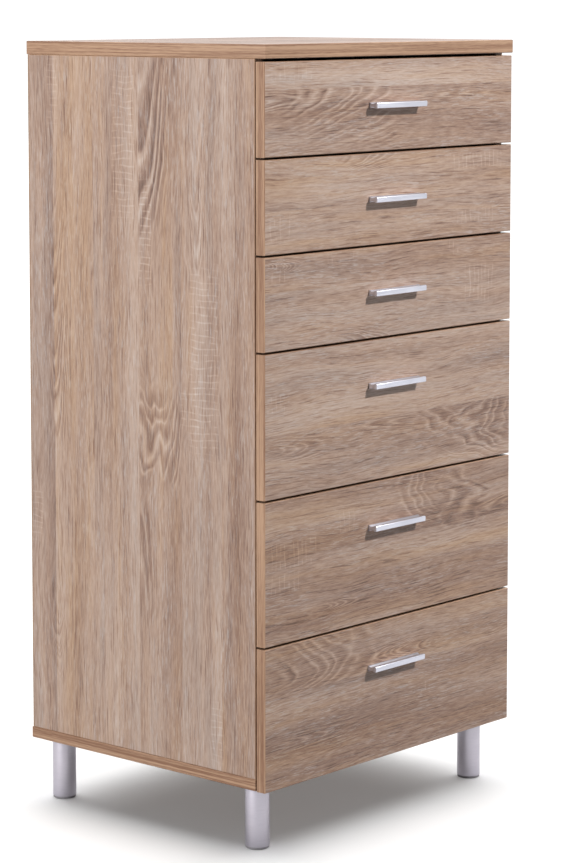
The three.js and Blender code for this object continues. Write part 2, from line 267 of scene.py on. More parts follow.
# %% Arches
def arch(w, along, moved, across, jag, tip, axis, length, half_width, facing, spacing, wild, clip):
    """Nested arches that open from their tip. Returns the dark fill and the pale outline of each ring.

    moved is the wavering place across the grain, and across the true one, which clip is a range of.
    """
    run = w.times(w.less(along, tip), facing)
    aside = w.less(moved, axis)
    place = w.vector(along, across, tip + axis)
    swing = w.less(w.noise(w.stretch(place, (9.0, 30.0, 7.0)), detail=1.0), 0.5)
    ripple = w.noise(w.stretch(place, (24.0, 55.0, 7.0)), detail=1.5)
    field = w.less(run, w.times(aside, aside, length / half_width ** 2))
    field = w.maths("MULTIPLY_ADD", swing, 160 * MM * wild, field)
    field = w.sway(w.sway(field, ripple, 48 * MM * wild), jag, 9 * MM)
    uneven = w.noise(w.vector(w.times(field, 0.6 / spacing), tip, axis), detail=1.0)
    phase = w.maths("MULTIPLY_ADD", uneven, 2.4, w.maths("DIVIDE", field, spacing))
    ring = w.maths("FRACT", phase)
    depth = w.noise(w.vector(w.times(field, 0.31 / spacing), axis, tip), detail=0.0)
    depth = w.step(depth, 0.3, 0.62)
    fill = w.times(w.step(ring, 0.0, 0.2), w.step(ring, 0.16, 0.8, 1.0, 0.0))
    dark = w.times(fill, w.maths("MULTIPLY_ADD", depth, 0.65, 0.35))
    pale = w.times(w.step(ring, 0.6, 0.85), w.step(ring, 0.85, 1.0, 1.0, 0.0))
    sideways = w.step(w.maths("ABSOLUTE", aside), half_width * 0.7, half_width * 1.3, 1.0, 0.0)
    inside = w.step(w.maths("MULTIPLY_ADD", swing, 0.12, run), -0.03, 0.02)
    tail = w.step(run, length * 0.5, length * 1.2, 1.0, 0.0)
    kept = w.times(w.maths("GREATER_THAN", across, clip[0]), w.maths("LESS_THAN", across, clip[1]))
    patch = w.times(sideways, inside, tail, kept)
    return w.times(dark, patch), w.times(pale, patch)


print("arches are ready")

# %% [markdown]
# A frame saw leaves a ladder of lines across the grain, and lime stays in them. They come at nearly
# even steps, so a sine makes the rungs, and noise puts them a little out of step and wears some of them
# away.

# %% Saw marks
RUNG_STEP = 9 * MM


def saw_marks(w, along, across, centre, axis, half_length, half_width):
    """A ladder of fine pale lines across the grain, inside one ragged patch."""
    place = w.vector(along, across, centre + axis)
    stagger = w.noise(w.stretch(place, (26.0, 22.0, 5.0)), detail=1.0)
    turns = w.times(along, 2 * math.pi / RUNG_STEP)
    rungs = w.maths("SINE", w.maths("MULTIPLY_ADD", stagger, 9.0, turns))
    fading = w.noise(w.stretch(place, (75.0, 60.0, 9.0)), detail=2.0)
    far_along = w.maths("ABSOLUTE", w.maths("DIVIDE", w.less(along, centre), half_length))
    far_across = w.maths("ABSOLUTE", w.maths("DIVIDE", w.less(across, axis), half_width))
    far = w.maths("MAXIMUM", far_along, far_across)
    far = w.sway(far, fading, 1.1)
    patch = w.step(far, 0.65, 1.0, 1.0, 0.0)
    return w.times(w.step(rungs, 0.55, 1.0), w.step(fading, 0.36, 0.56), patch)


print("saw marks come every", round(RUNG_STEP / MM, 1), "mm")

# %% [markdown]
# One function puts a board's material together: lamellas, grain, figure and marks become a tone, the
# tone picks a colour between brown and limed white, and each strip's warmth tints it. The same board
# has plastic edge bands, which are a warmer print with fine lines along the edge. Which of the two
# shows at a place depends on whether the face looks through the board's thickness. Bands on upper and
# lower edges are darkened with painted shade, which stands for the shade in the gaps between the fronts.

# %% Build an oak board's material
OAK = [(0.0, paint(102, 75, 62)), (0.3, paint(144, 114, 98)), (0.5, paint(173, 145, 128)),
       (0.7, paint(192, 167, 151)), (1.0, paint(216, 203, 194))]
LIME = solid_paint(206, 198, 195)
# Painted shade for the edge bands on upper and lower edges: its near-black colour, and how much of it they
# get.
BAND_PAINTED_SHADE, BAND_SHADE_SHARE = solid_paint(30, 22, 17), 0.35
WARM_TINT = solid_paint(255, 247, 232)
GREY_TINT = solid_paint(244, 249, 255)
BAND_DARK = paint(134, 96, 71)
BAND_LIGHT = paint(189, 153, 125)

# How much each layer changes the tone, where 1 is the whole way from the darkest oak to the palest.
BANDS_SHOW, STREAKS_SHOW, FIBRES_SHOW, PORES_SHOW = 0.64, 0.25, 0.76, 0.26
RINGS_DARKEN, RINGS_LIGHTEN = 0.5, 0.17


def edge_band(w, place, through):
    """Warm printed plastic with fine lines that run along the edge."""
    by = [3.0, 3.0, 3.0]
    by[through] = 330.0
    lines = w.noise(w.stretch(place, by), detail=2.0, roughness=0.6)
    by = [60.0, 60.0, 60.0]
    by[through] = 1500.0
    flecks = w.noise(w.stretch(place, by), detail=1.0)
    return w.ramp(w.sway(lines, flecks, 0.35), [(0.36, BAND_DARK), (0.64, BAND_LIGHT)])


def oak_board(name, node, axes, strips, arches=(), saws=()):
    """The material of one board. Places in arches and saws are millimetres from the board's low corner."""
    w = Wiring(name)
    place, normal = w.object_place()
    low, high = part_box(node)
    parts = w.split(place)
    along = w.less(parts[axes[ALONG]], low[axes[ALONG]])
    across = w.less(parts[axes[ACROSS]], low[axes[ACROSS]])
    width = high[axes[ACROSS]] - low[axes[ACROSS]]
    tone, warmth, seed = lamellas(w, across, 0.0, width, strips)
    seed = w.maths("ADD", seed, (sum(map(ord, node)) % 17) * 0.6)
    bands, streaks, fibres, pores, moved = grain(w, along, across, seed)

    shade = tone
    for layer, strength in zip((bands, streaks, fibres), (BANDS_SHOW, STREAKS_SHOW, FIBRES_SHOW)):
        shade = w.sway(shade, layer, strength)
    broken = w.step(streaks, 0.36, 0.6, 0.4, 1.0)
    for look in arches:
        tip, axis, length, half_width, facing, spacing, wild, strength = look[:8]
        clip = look[8] if len(look) > 8 else (-999, 999)
        dark, pale = arch(
            w, along, moved, across, fibres, tip * MM, axis * MM, length * MM, half_width * MM,
            facing, spacing * MM, wild, (clip[0] * MM, clip[1] * MM))
        shade = w.maths("MULTIPLY_ADD", w.times(dark, broken), -RINGS_DARKEN * strength, shade)
        shade = w.maths("MULTIPLY_ADD", pale, RINGS_LIGHTEN * strength, shade)
    for centre, axis, half_length, half_width, strength in saws:
        marks = saw_marks(w, along, across, centre * MM, axis * MM, half_length * MM, half_width * MM)
        shade = w.maths("MULTIPLY_ADD", marks, strength, shade)
    pore = w.step(pores, 0.58, 0.66)
    shade = w.maths("MULTIPLY_ADD", pore, -PORES_SHOW, shade)

    colour = w.ramp(shade, OAK)
    place_in_grain = w.vector(along, moved, seed)
    limed = w.noise(w.stretch(place_in_grain, (5.0, 26.0, 3.0)), detail=1.0)
    flecks = w.noise(w.stretch(place_in_grain, (44.0, 560.0, 7.0)), detail=2.0, roughness=0.7)
    flecks = w.times(w.step(flecks, 0.53, 0.64), w.step(limed, 0.3, 0.66, 0.1, 0.4))
    colour = w.mix(flecks, colour, LIME)
    wander = w.noise(w.stretch(place_in_grain, (2.6, 44.0, 9.0)), detail=3.0, roughness=0.65)
    warm = w.sway(warmth, wander, 1.8)
    colour = w.mix(w.step(warm, 0.45, 0.95), colour, WARM_TINT, "MULTIPLY")
    colour = w.mix(w.step(warm, 0.05, 0.55, 1.0, 0.0), colour, GREY_TINT, "MULTIPLY")

    looks = w.split(normal)
    on_face = w.step(w.maths("ABSOLUTE", looks[axes[THROUGH]]), 0.85, 0.95)
    band = edge_band(w, place, axes[THROUGH])
    # Edge bands on upper and lower edges are mixed towards painted shade, as in the gaps between the
    # fronts.
    level = w.step(w.maths("ABSOLUTE", looks[2]), 0.85, 0.95)
    band = w.mix(w.times(level, BAND_SHADE_SHARE), band, BAND_PAINTED_SHADE)
    colour = w.mix(on_face, band, colour)
    relief = w.maths("MULTIPLY_ADD", pore, -0.6, fibres)
    dull = w.step(streaks, 0.2, 0.8, 0.36, 0.5)
    return w.finish(colour, dull, height=relief, depth=0.12 * MM, strength=0.35)


def dress(node, material):
    """Gives a solid of the frame its material, in place of the one that it was loaded with."""
    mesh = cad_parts[node].data
    mesh.materials.clear()
    mesh.materials.append(material)


print("oak tones:", len(OAK))

# %% [markdown]
# ## The carcase boards
#
# The grain of the side panels stands upright, and that of the top and bottom runs along the fronts. The
# left side has the liveliest figure: a dark flame under the top, a wild knotted arch below the middle,
# and two ladders of saw marks.

# %% Dress the carcase
SIDE_AXES = (2, 1, 0)  # the grain runs up, strips follow each other in depth
LEVEL_AXES = (0, 1, 2)

LEFT_STRIPS = [(0.0, 0.54, 0.5), (0.14, 0.57, 0.4), (0.31, 0.52, 0.6), (0.499, 0.57, 0.45),
               (0.66, 0.5, 0.45), (0.7, 0.58, 0.7), (0.885, 0.5, 0.3)]
LEFT_ARCHES = [
    (740, 222, 260, 58, 1, 64, 0.3, 1.0, (130, 215.6)),
    (400, 188, 130, 52, 1, 32, 0.75, 1.05, (110, 215.6)),
    (345, 217, 170, 22, -1, 90, 0.15, 1.2, (150, 215.6)),
    (425, 384, 380, 40, 1, 46, 0.3, 0.75, (300, 386)),
    (700, 104, 240, 22, 1, 44, 0.4, 0.5), (90, 380, 90, 20, 1, 16, 0.4, 0.5)]
LEFT_SAWS = [(854, 245, 125, 26, 0.16), (560, 93, 155, 32, 0.16), (734, 203, 90, 14, 0.2),
             (314, 421, 48, 14, 0.14), (54, 70, 50, 14, 0.12), (500, 120, 36, 22, 0.12),
             (930, 385, 70, 14, 0.1)]
RIGHT_ARCHES = [
    (250, 225, 300, 44, 1, 40, 0.5, 0.9, (150, 268)), (760, 120, 220, 30, -1, 28, 0.7, 0.9),
    (620, 340, 300, 26, 1, 44, 0.3, 0.5)]
RIGHT_SAWS = [(520, 330, 150, 22, 0.16), (760, 210, 120, 18, 0.16), (120, 60, 70, 26, 0.12)]

dress("left_side_panel", oak_board(
    "oak of the left side", "left_side_panel", SIDE_AXES, LEFT_STRIPS, LEFT_ARCHES, LEFT_SAWS))
dress("right_side_panel", oak_board(
    "oak of the right side", "right_side_panel", SIDE_AXES,
    [(0.0, 0.5, 0.4), (0.22, 0.57, 0.6), (0.4, 0.53, 0.45), (0.62, 0.58, 0.55), (0.83, 0.52, 0.4)],
    RIGHT_ARCHES, RIGHT_SAWS))
LEVEL_ARCHES = [(60, 180, 300, 36, 1, 34, 0.6, 0.8), (480, 300, 200, 24, -1, 26, 0.8, 0.7)]
LEVEL_SAWS = [(380, 330, 90, 30, 0.12)]
LEVEL_LOOKS = {"top_panel": (0.5, 0.08), "bottom_panel": (0.5, 0.35), "middle_rail": (0.52, 0.35)}
for node, (tone, warmth) in LEVEL_LOOKS.items():
    strips = [(0.0, tone, warmth), (0.27, tone - 0.04, warmth - 0.05),
              (0.52, tone + 0.03, warmth + 0.05), (0.78, tone - 0.02, warmth)]
    name = f"oak of the {node.replace('_', ' ')}"
    dress(node, oak_board(name, node, LEVEL_AXES, strips, LEVEL_ARCHES, LEVEL_SAWS))
print("carcase boards dressed")

# %% [markdown]
# ## The drawer fronts
#
# The fronts were cut from one printed sheet with the grain running level, so each shows two lamellas or
# so, and wild figure turns up in a different place on each. One material for all six would repeat the
# same figure down the chest, so each front has its own, made by the same function from its own list of
# places.

# %% Dress the drawer fronts
FRONT_AXES = (0, 2, 1)
FRONTS = {
    "drawer_1": dict(
        strips=[(0.0, 0.49, 0.45), (0.7, 0.57, 0.5)],
        arches=[(268, 98, 240, 84, -1, 34, 0.35, 1.0, (0, 89)),
                (330, 72, 240, 12, 1, 60, 0.3, 0.8, (0, 89)), (66, 76, 160, 12, -1, 60, 0.2, 1.0, (0, 89))],
        saws=[(60, 112, 60, 12, 0.1)]),
    "drawer_2": dict(
        strips=[(0.0, 0.5, 0.5), (0.45, 0.51, 0.55)],
        arches=[(272, 128, 110, 26, -1, 20, 0.4, 1.0), (330, 96, 190, 9, 1, 50, 0.3, 0.4)],
        saws=[(465, 108, 80, 14, 0.16), (455, 28, 60, 12, 0.13), (30, 34, 34, 22, 0.12)]),
    "drawer_3": dict(
        strips=[(0.0, 0.53, 0.4), (0.62, 0.55, 0.5)],
        arches=[(64, 110, 60, 12, -1, 12, 0.4, 1.0), (268, -1, 110, 24, -1, 19, 0.4, 1.0)],
        saws=[(410, 115, 16, 14, 0.16), (470, 60, 44, 34, 0.16), (160, 118, 40, 9, 0.12),
              (28, 105, 24, 16, 0.14)]),
    "drawer_4": dict(
        strips=[(0.0, 0.5, 0.45), (0.437, 0.54, 0.45)],
        arches=[(420, 54, 130, 56, 1, 27, 0.65, 0.85, (0, 86)),
                (332, 90, 100, 54, 1, 50, 0.85, 0.8, (0, 86)),
                (212, 76, 140, 10, 1, 60, 0.2, 1.0, (0, 86)), (120, 64, 120, 16, -1, 34, 0.3, 0.9, (0, 86)),
                (250, 150, 240, 10, -1, 60, 0.3, 0.5)],
        saws=[(24, 128, 26, 16, 0.12)]),
    "drawer_5": dict(
        strips=[(0.0, 0.455, 0.58), (0.579, 0.435, 0.58)],
        arches=[(272, 182, 110, 66, 1, 29, 0.6, 0.8, (114, 197)),
                (480, 146, 120, 66, -1, 50, 0.8, 0.7, (114, 197)),
                (195, 36, 80, 8, -1, 24, 0.2, 1.0), (465, 126, 100, 14, 1, 40, 0.3, 0.8, (114, 197))],
        saws=[(60, 120, 62, 22, 0.16), (40, 82, 42, 16, 0.14), (175, 150, 24, 18, 0.12)]),
    "drawer_6": dict(
        strips=[(0.0, 0.42, 0.62), (0.645, 0.44, 0.66)],
        arches=[(168, 162, 150, 58, -1, 30, 0.5, 0.9, (127, 197)),
                (232, 172, 64, 60, -1, 52, 0.6, 0.75, (127, 197)),
                (236, 148, 120, 16, 1, 22, 0.4, 0.9, (127, 197)), (190, 58, 190, 14, -1, 60, 0.2, 1.0)],
        saws=[(345, 85, 16, 10, 0.1)]),
}
for drawer, look in FRONTS.items():
    node = f"{drawer}_front"
    dress(node, oak_board(f"oak of {drawer} front", node, FRONT_AXES, **look))
print("fronts dressed:", len(FRONTS))

# %% [markdown]
# ## Boards that show only when a drawer is open, or from behind
#
# The drawer boxes are white melamine board. It looks plain, but a flat colour would look like paper:
# the real film is faintly mottled, and its pearl of fine dimples breaks up the gloss. Two noises of
# different scale give both, one for the colour and one for the relief.

# %% White board
def white_board():
    w = Wiring("white melamine board")
    place, _ = w.object_place()
    mottle = w.noise(place, scale=30.0, detail=3.0, roughness=0.6)
    pearl = w.noise(place, scale=900.0, detail=1.0)
    tone = w.sway(mottle, pearl, 0.5)
    colour = w.ramp(tone, [(0.3, paint(219, 218, 214)), (0.7, paint(227, 226, 223))])
    dull = w.step(mottle, 0.2, 0.8, 0.38, 0.5)
    return w.finish(colour, dull, height=pearl, depth=0.05 * MM, strength=0.3)


box_board = white_board()
for drawer in DRAWERS:
    for part in ("left_side", "right_side", "back"):
        dress(f"{drawer}_{part}", box_board)
print("white boards dressed:", 3 * len(DRAWERS))

# %% [markdown]
# Drawer bottoms and the back panel are hardboard: white lacquer on the face that one looks into, and
# brown pressed fibre on the other. One material can hold both, because the normal tells which way a
# face looks. The back is nailed on all round its edge. The flat heads lie flush with the fibre, so they
# belong to its finish.

# %% Hardboard
NAIL_RADIUS, NAIL_PITCH, NAIL_INSET = 2.6 * MM, 88 * MM, 9 * MM


def nail_heads(w, place, node):
    """Spots of 1 where nails go round the edge of an upright board, and 0 elsewhere."""
    low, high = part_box(node)
    parts = w.split(place)
    spots = 0.0
    for one, other in ((0, 2), (2, 0)):
        middle_of_board, reach = (low[one] + high[one]) / 2, (high[one] - low[one]) / 2 - NAIL_INSET
        aside = w.maths("ABSOLUTE", w.less(parts[one], middle_of_board))
        aside = w.less(aside, reach)
        run = w.less(parts[other], (low[other] + high[other]) / 2)
        run = w.maths("PINGPONG", run, NAIL_PITCH / 2)
        far = w.maths("SQRT", w.maths("ADD", w.times(aside, aside), w.times(run, run)))
        spots = w.maths("MAXIMUM", spots, w.step(far, NAIL_RADIUS * 0.9, NAIL_RADIUS, 1.0, 0.0))
    return spots


def hardboard(name, white_axis, white_sign, nailed=None):
    """Brown fibre board with white lacquer on the one face that looks along white_axis."""
    w = Wiring(name)
    place, normal = w.object_place()
    fibres = w.noise(w.stretch(place, (1.0, 1.0, 1.6)), scale=620.0, detail=3.0, roughness=0.7)
    clouds = w.noise(place, scale=14.0, detail=3.0)
    tone = w.sway(fibres, clouds, 0.26)
    brown = w.ramp(tone, [
        (0.25, paint(112, 84, 58)), (0.5, paint(148, 115, 82)), (0.8, paint(182, 149, 112))])
    white = w.ramp(clouds, [(0.3, paint(214, 212, 207)), (0.7, paint(221, 219, 215))])
    lacquered = w.step(w.times(w.split(normal)[white_axis], white_sign), 0.7, 0.9)
    colour = w.mix(lacquered, brown, white)
    dull = w.maths("MULTIPLY_ADD", lacquered, -0.32, 0.82)
    metallic = 0.0
    if nailed:
        heads = w.times(nail_heads(w, place, nailed), w.less(1.0, lacquered))
        colour = w.mix(heads, colour, solid_paint(150, 148, 145))
        dull = w.maths("MULTIPLY_ADD", heads, -0.4, dull)
        metallic = w.times(heads, 0.9)
    return w.finish(colour, dull, metallic, height=fibres, depth=0.25 * MM, strength=0.4)


bottom_board = hardboard("hardboard of the drawer bottoms", 2, 1)
dress("back_panel", hardboard("hardboard of the back panel", 1, -1, "back_panel"))
for drawer in DRAWERS:
    dress(f"{drawer}_bottom", bottom_board)
print("hardboards dressed:", 1 + len(DRAWERS))

# %% [markdown]
# ## Plastic and metal
#
# Runner strips are extruded from grey plastic, glides and bumpers are moulded. Such a skin is even in
# colour but never quite smooth, so slow clouds tint it and a fine noise dulls and dents it.

# %% Plastic
def moulded_plastic(name, dark, light, roughness):
    w = Wiring(name)
    place, _ = w.object_place()
    skin = w.noise(place, scale=1100.0, detail=2.0)
    clouds = w.noise(place, scale=60.0, detail=2.0)
    colour = w.ramp(clouds, [(0.3, dark), (0.7, light)])
    dull = w.step(skin, 0.2, 0.8, roughness - 0.06, roughness + 0.06)
    return w.finish(colour, dull, height=skin, depth=0.04 * MM, strength=0.4)


runner_plastic = moulded_plastic("grey runner plastic", paint(188, 188, 184), paint(202, 202, 199), 0.5)
glide_plastic = moulded_plastic("grey glide plastic", paint(128, 126, 130), paint(146, 144, 148), 0.5)
bumper_plastic = moulded_plastic("clear bumper plastic", paint(196, 199, 200), paint(212, 215, 216), 0.25)
for row in range(1, 7):
    for side in ("left", "right"):
        dress(f"runner_{row}_{side}", runner_plastic)
print("runner strips dressed:", 2 * len(DRAWERS))

# %% [markdown]
# The handles are anodised aluminium, finely brushed along their length. The legs are a satin silver
# that shows the faintest rings of the lathe. Screws are bright zinc. All three are one function: noise
# squeezed hard in every direction but that of the strokes.

# %% Metal
def brushed_metal(name, dark, light, stroke, roughness):
    """Metal with fine lines. stroke scales the place so that the lines run along its smallest entry."""
    w = Wiring(name)
    place, _ = w.object_place()
    lines = w.noise(w.stretch(place, stroke), detail=3.0, roughness=0.65)
    clouds = w.noise(place, scale=25.0, detail=2.0)
    colour = w.ramp(w.sway(lines, clouds, 0.6), [(0.25, dark), (0.75, light)])
    dull = w.step(lines, 0.2, 0.8, roughness - 0.07, roughness + 0.09)
    return w.finish(colour, dull, metallic=1.0, height=lines, depth=0.02 * MM, strength=0.35)


handle_metal = brushed_metal(
    "anodised aluminium", paint(190, 191, 202), paint(213, 214, 224), (14.0, 2200.0, 2200.0), 0.38)
leg_metal = brushed_metal(
    "satin silver", paint(178, 174, 184), paint(189, 185, 194), (60.0, 60.0, 900.0), 0.42)
zinc = brushed_metal("bright zinc", paint(172, 174, 176), paint(206, 206, 204), (700.0, 700.0, 700.0), 0.32)
print("metals:", handle_metal.name, leg_metal.name, zinc.name, sep=", ")

# %% [markdown]
# ## Working by hand, in code
#
# The remaining pieces are modelled as one would at the keyboard: a primitive at its size and place,
# then edit-mode tools on picked faces or edges. A tool acts on all that is selected, so everything is
# deselected before a primitive is added, and its place and size go into its mesh at once.

# %% Helpers that add a primitive
def settle(name):
    """Names the new primitive and moves its place and size into its mesh."""
    piece = bpy.context.object
    piece.name = piece.data.name = name
    bpy.ops.object.transform_apply(location=True, rotation=True, scale=True)
    return piece


def clear_selection():
    if bpy.context.object and bpy.context.object.mode != "OBJECT":
        bpy.ops.object.mode_set(mode="OBJECT")
    bpy.ops.object.select_all(action="DESELECT")


def add_block(name, low, high):
    clear_selection()
    low, high = Vector(low), Vector(high)
    bpy.ops.mesh.primitive_cube_add(size=1, location=(low + high) / 2, scale=high - low)
    return settle(name)


def add_round(name, centre, radius, height, corners=48, turn=(0, 0, 0)):
    """A closed cylinder whose middle is at centre."""
    clear_selection()
    bpy.ops.mesh.primitive_cylinder_add(
        vertices=corners, radius=radius, depth=height, location=centre, rotation=turn)
    return settle(name)


print("primitives: a block and a round")

# %% [markdown]
# At the keyboard, faces and edges are picked by eye. In code they are picked by a test of their place
# or normal, which goes on working when a size changes. A bevel or a push follows most picks.

# %% Helpers that pick and shape parts
def select_only(piece):
    clear_selection()
    piece.select_set(True)
    bpy.context.view_layer.objects.active = piece


def edit(piece, kind="FACE"):
    select_only(piece)
    bpy.ops.object.mode_set(mode="EDIT")
    bpy.ops.mesh.select_mode(type=kind)


def pick(piece, test, kind="FACE"):
    """Goes into edit mode with only the faces, edges or points that pass the test picked."""
    edit(piece, kind)
    bpy.ops.mesh.select_all(action="DESELECT")
    shape = bmesh.from_edit_mesh(piece.data)
    group = {"FACE": shape.faces, "EDGE": shape.edges, "VERT": shape.verts}[kind]
    count = 0
    for part in group:
        if test(part):
            part.select_set(True)
            count += 1
    shape.select_flush_mode()
    bmesh.update_edit_mesh(piece.data)
    return count


def middle(edge):
    return (edge.verts[0].co + edge.verts[1].co) / 2


def bevel_edges(piece, test, width, steps):
    pick(piece, test, "EDGE")
    bpy.ops.mesh.bevel(offset=width, segments=steps)


def push_faces(by):
    """Extrudes the picked faces by a step."""
    bpy.ops.mesh.extrude_region_move(TRANSFORM_OT_translate={"value": by})


print("parts to pick: faces, edges and points; shaping: bevel and push")

# %% [markdown]
# A finished piece gets its shading and its material, and is told which body of the frame it moves with.
# What repeats is modelled once and copied. Each copy has its own mesh, with its new place in it.

# %% Helpers that complete and copy a piece
HALF_TURN = Matrix.Rotation(math.pi, 4, "Z")
SHARP_FROM = math.radians(32)


def centre_of(piece):
    corners = [Vector(corner) for corner in piece.bound_box]
    return sum(corners, Vector()) / len(corners)


def join_frame(piece, body, replaces=()):
    """Parents the piece to the body that it moves with, and hides the solids of the frame that it replaces.
    """
    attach(piece, body)
    if replaces:
        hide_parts(*replaces)


def complete(piece, material, body, replaces=()):
    """Leaves edit mode, smooths the shading, gives the material, and joins the piece to the frame."""
    select_only(piece)
    bpy.ops.object.shade_smooth_by_angle(angle=SHARP_FROM)
    piece.data.materials.clear()
    piece.data.materials.append(material)
    join_frame(piece, body, replaces)
    return piece


def copy_piece(piece, name, offset, body, replaces=(), turn=None):
    """A copy with its own mesh, moved by offset and, if asked, turned about its own middle first."""
    mesh = piece.data.copy()
    copied = bpy.data.objects.new(name, mesh)
    mesh.name = name
    bpy.context.scene.collection.objects.link(copied)
    if turn is not None:
        centre = centre_of(piece)
        mesh.transform(Matrix.Translation(centre) @ turn @ Matrix.Translation(-centre))
    mesh.transform(Matrix.Translation(offset))
    join_frame(copied, body, replaces)
    return copied


def repeat_piece(piece, name, homes):
    """Copies the piece to every home but the first, which is its own, and numbers the copies.

    A home is a place, a body, and True where the piece is turned half round to face the other way.
    """
    for number, (place, body, turned) in enumerate(homes[1:], 2):
        turn = HALF_TURN if turned else None
        copy_piece(piece, f"{name}_{number}", place - homes[0][0], body, turn=turn)
    print(name, "count:", len(homes), "faces of one:", len(piece.data.polygons))


print("sharp edges stay sharp from", round(math.degrees(SHARP_FROM)), "degrees")

# %% [markdown]
# ## Handles
#
# Each handle is a sawn length of extruded bar: a flat base against the front, a waist for the
# fingertips, and a lip with rounded edges. A block with the size of the solid is sliced where the
# section changes, the slices are squeezed to make the waist, and the edges are rounded by bevels.

# %% Model one handle
WAIST_SHARE = 0.46
LIP_THICKNESS = 3.8 * MM
BASE_THICKNESS = 1.9 * MM


def slice_at(piece, depths):
    for depth in depths:
        edit(piece)
        bpy.ops.mesh.select_all(action="SELECT")
        bpy.ops.mesh.bisect(plane_co=(0, depth, 0), plane_no=(0, 1, 0))


def model_handle(node):
    low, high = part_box(node)
    bar = add_block("handle_of_" + node.replace("_handle", ""), low, high)
    lip_back = low.y + LIP_THICKNESS
    base_face = high.y - BASE_THICKNESS
    waist = [lip_back + share * (base_face - lip_back) for share in (0.28, 0.5, 0.72)]
    slice_at(bar, [lip_back, *waist, base_face])
    centre = (low + high) / 2
    for depth, share in zip(waist, (0.62, WAIST_SHARE, 0.56)):
        pick(bar, lambda point: abs(point.co.y - depth) < 1e-5, "VERT")
        bpy.ops.transform.resize(value=(1, 1, share), center_override=centre)
    long_edge = lambda edge: abs(edge.verts[0].co.x - edge.verts[1].co.x) > 0.05
    bevel_edges(bar, lambda edge: long_edge(edge) and low.y + 1e-4 < middle(edge).y < high.y - 1e-4
                and abs(middle(edge).y - lip_back) > 1e-4, 0.7 * MM, 3)
    bevel_edges(bar, lambda edge: long_edge(edge) and middle(edge).y < low.y + 1e-4, 1.6 * MM, 6)
    bevel_edges(bar, lambda edge: long_edge(edge) and abs(middle(edge).y - lip_back) < 2e-4
                and abs(middle(edge).z - centre.z) > 3.0 * MM, 0.5 * MM, 3)
    bevel_edges(bar, lambda edge: len(edge.link_faces) == 2 and edge.calc_face_angle(0) > 1.2
                and abs(abs(middle(edge).x) - high.x) < 1e-4, 0.25 * MM, 2)
    return bar


first_handle = model_handle("drawer_1_handle")
complete(first_handle, handle_metal, "drawer_1", ["drawer_1_handle"])
first_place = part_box("drawer_1_handle")[0]
for drawer in DRAWERS[1:]:
    node = f"{drawer}_handle"
    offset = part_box(node)[0] - first_place
    copy_piece(first_handle, f"handle_of_{drawer}", offset, drawer, [node])
print("handle faces:", len(first_handle.data.polygons))

# %% [markdown]
# ## Legs
#
# A leg is a cut length of silver tube with softened rims, closed at the top and with a socket at the
# foot, where a glide goes in. A cylinder with its ends inset gives the wall, and pushing the lower disc
# up makes the socket, so the tube needs no boolean. It stands in for the solid leg of the frame.

# %% Model one leg
TUBE_WALL = 2 * MM
SOCKET_DEPTH = 6 * MM
GLIDE_HEIGHT = 3.2 * MM
TOP_SEAM = 0.2 * MM


def level_edge(edge):
    return abs(edge.verts[0].co.z - edge.verts[1].co.z) < 1e-6


def model_leg(node, panel):
    low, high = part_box(node)
    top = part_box(panel)[0].z - TOP_SEAM
    radius = (high.x - low.x) / 2
    centre = (low + high) / 2
    height = top - low.z - GLIDE_HEIGHT
    tube = add_round(
        "tube_of_" + node, (centre.x, centre.y, low.z + GLIDE_HEIGHT + height / 2), radius, height, 64)
    pick(tube, lambda face: abs(face.normal.z) > 0.9)
    bpy.ops.mesh.inset(thickness=TUBE_WALL)
    pick(tube, lambda face: face.normal.z < -0.9 and (face.calc_center_median() - centre).xy.length < 1e-4)
    push_faces((0, 0, SOCKET_DEPTH))
    bevel_edges(tube, lambda edge: level_edge(edge)
                and abs((middle(edge) - centre).xy.length - radius) < 1e-4, 0.7 * MM, 4)
    return tube


LEGS = ["front_left_leg", "front_right_leg", "rear_left_leg", "rear_right_leg"]
LEG_OFFSETS = {leg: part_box(leg)[0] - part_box(LEGS[0])[0] for leg in LEGS[1:]}
tube = complete(model_leg(LEGS[0], "bottom_panel"), leg_metal, "carcase", [LEGS[0]])
for leg, offset in LEG_OFFSETS.items():
    copy_piece(tube, "tube_of_" + leg, offset, "carcase", [leg])
print("tube faces:", len(tube.data.polygons))

# %% [markdown]
# ## Glides
#
# A glide is a plastic foot pressed into the tube. Its disc shows as a dark rim a few millimetres high,
# and its plug stands in the socket with a little air around it. A disc whose top is inset and extruded
# gives both in one closed piece, and a rounded lower edge lets it slide over a carpet.

# %% Model one glide
GLIDE_INSET = 0.5 * MM
PLUG_GAP = 0.4 * MM
PLUG_HEIGHT = 3 * MM


def model_glide(node):
    low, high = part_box(node)
    radius = (high.x - low.x) / 2 - GLIDE_INSET
    centre = (low + high) / 2
    glide = add_round(
        "glide_of_" + node, (centre.x, centre.y, low.z + GLIDE_HEIGHT / 2), radius, GLIDE_HEIGHT, 64)
    pick(glide, lambda face: face.normal.z > 0.9)
    bpy.ops.mesh.inset(thickness=TUBE_WALL + PLUG_GAP - GLIDE_INSET)
    push_faces((0, 0, PLUG_HEIGHT))
    bevel_edges(glide, lambda edge: level_edge(edge) and middle(edge).z < low.z + 1e-4, 1.3 * MM, 5)
    pick(glide, lambda face: face.normal.z < -0.99)
    bpy.ops.mesh.inset(thickness=4 * MM)
    push_faces((0, 0, 0.6 * MM))
    return glide


glide = complete(model_glide(LEGS[0]), glide_plastic, "carcase")
for leg, offset in LEG_OFFSETS.items():
    copy_piece(glide, "glide_of_" + leg, offset, "carcase")
print("glide faces:", len(glide.data.polygons))

# %% [markdown]
# ## Screws, cams and bumpers
#
# Opened, the drawers show how they are put together. These small fittings repeat many times, so each is
# modelled once, with few faces, and copied.
#
# Screws and cams have a cross for the driver. It could be drawn in the relief of the metal, but then it
# would not catch light as a real recess does. Two small blocks cut it out with a boolean, as one would
# do by hand.

